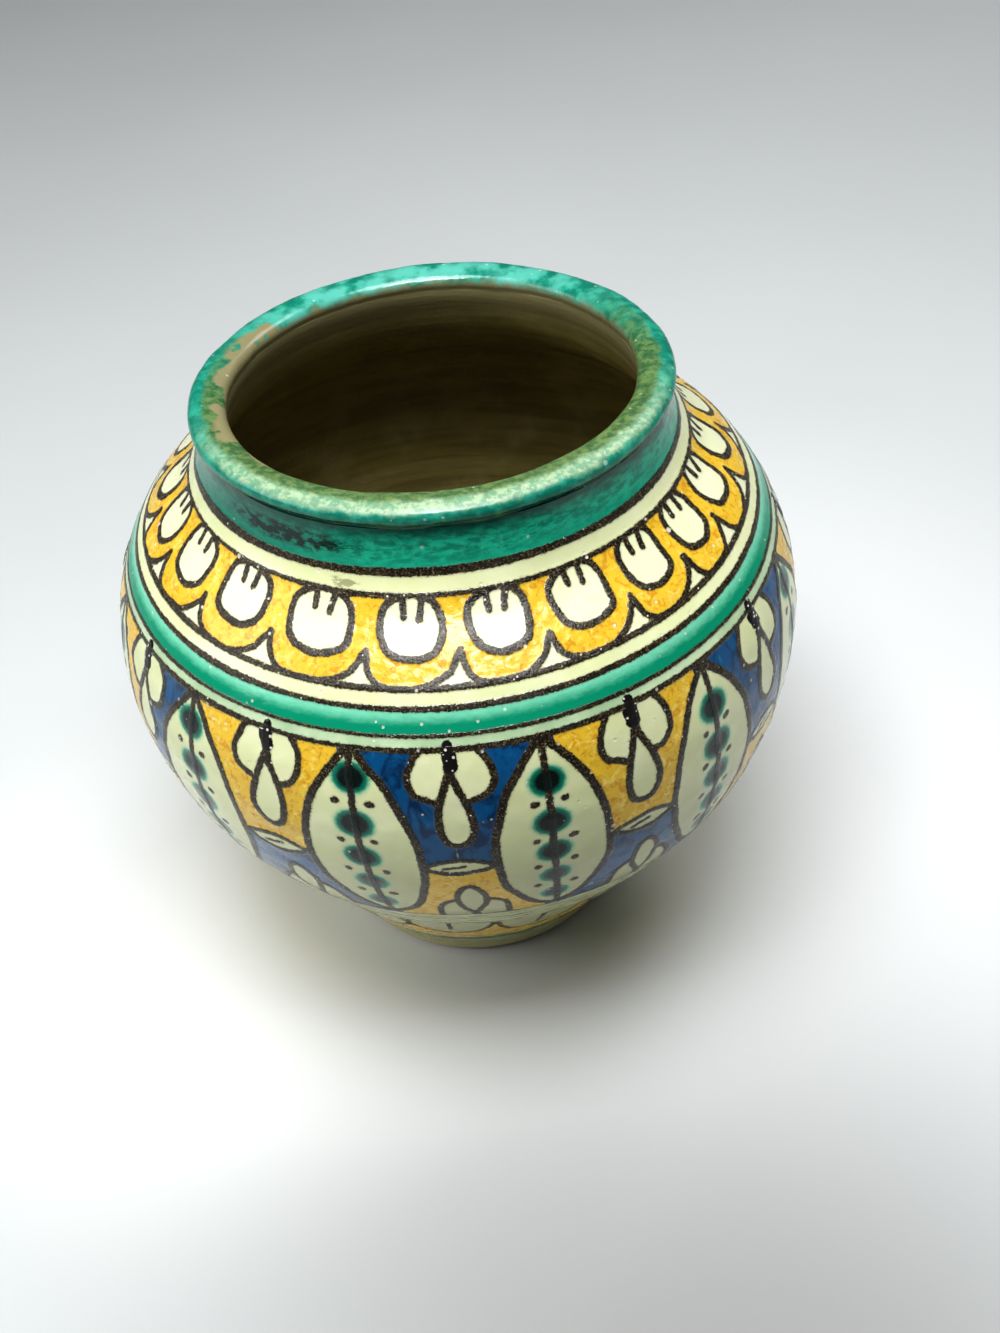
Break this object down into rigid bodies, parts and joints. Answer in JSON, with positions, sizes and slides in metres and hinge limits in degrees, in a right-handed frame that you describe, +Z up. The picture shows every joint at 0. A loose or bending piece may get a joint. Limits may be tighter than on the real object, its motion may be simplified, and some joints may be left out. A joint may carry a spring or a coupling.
{
  "type": "glazed pottery vase",
  "caption": "Round-bellied wide-mouthed earthenware vase with a short coved neck, rolled lip, low foot ring and banded painted glaze.",
  "frame": {"origin": "centre of the plane the foot rests on", "axes": "+Z up along the vase's axis, -Y towards the viewer"},
  "size_m": [0.2, 0.2, 0.1902],
  "materials": {
    "bare_clay": "matte fired earthenware, unglazed",
    "liner_glaze": "thin dull beige liner glaze over throwing rings",
    "green_glaze": "glossy copper-green glaze, streaked and worn on the lip",
    "cream_glaze": "glossy pale cream glaze",
    "ochre_glaze": "glossy pitted ochre glaze with cream ovals and dark outlines",
    "mint_glaze": "glossy pale mint glaze",
    "painted_glaze": "glossy glaze in cream, cobalt blue and ochre fields with dark brown outlines"
  },
  "bodies": {
    "root": {"foot_ring": "bare_clay", "thrown_body": "bare_clay", "neck_collar": "bare_clay", "rolled_lip": "bare_clay", "inner_glaze": "liner_glaze", "lip_glaze": "green_glaze", "neck_glaze": "green_glaze", "collar_stripe_glaze": "cream_glaze", "scallop_band_glaze": "ochre_glaze", "cream_stripe_glaze": "cream_glaze", "green_band_glaze": "green_glaze", "mint_stripe_glaze": "mint_glaze", "belly_panel_glaze": "painted_glaze", "line_bundle_glaze": "cream_glaze", "petal_band_glaze": "painted_glaze", "foot_glaze": "cream_glaze"}
  },
  "joints": []
}
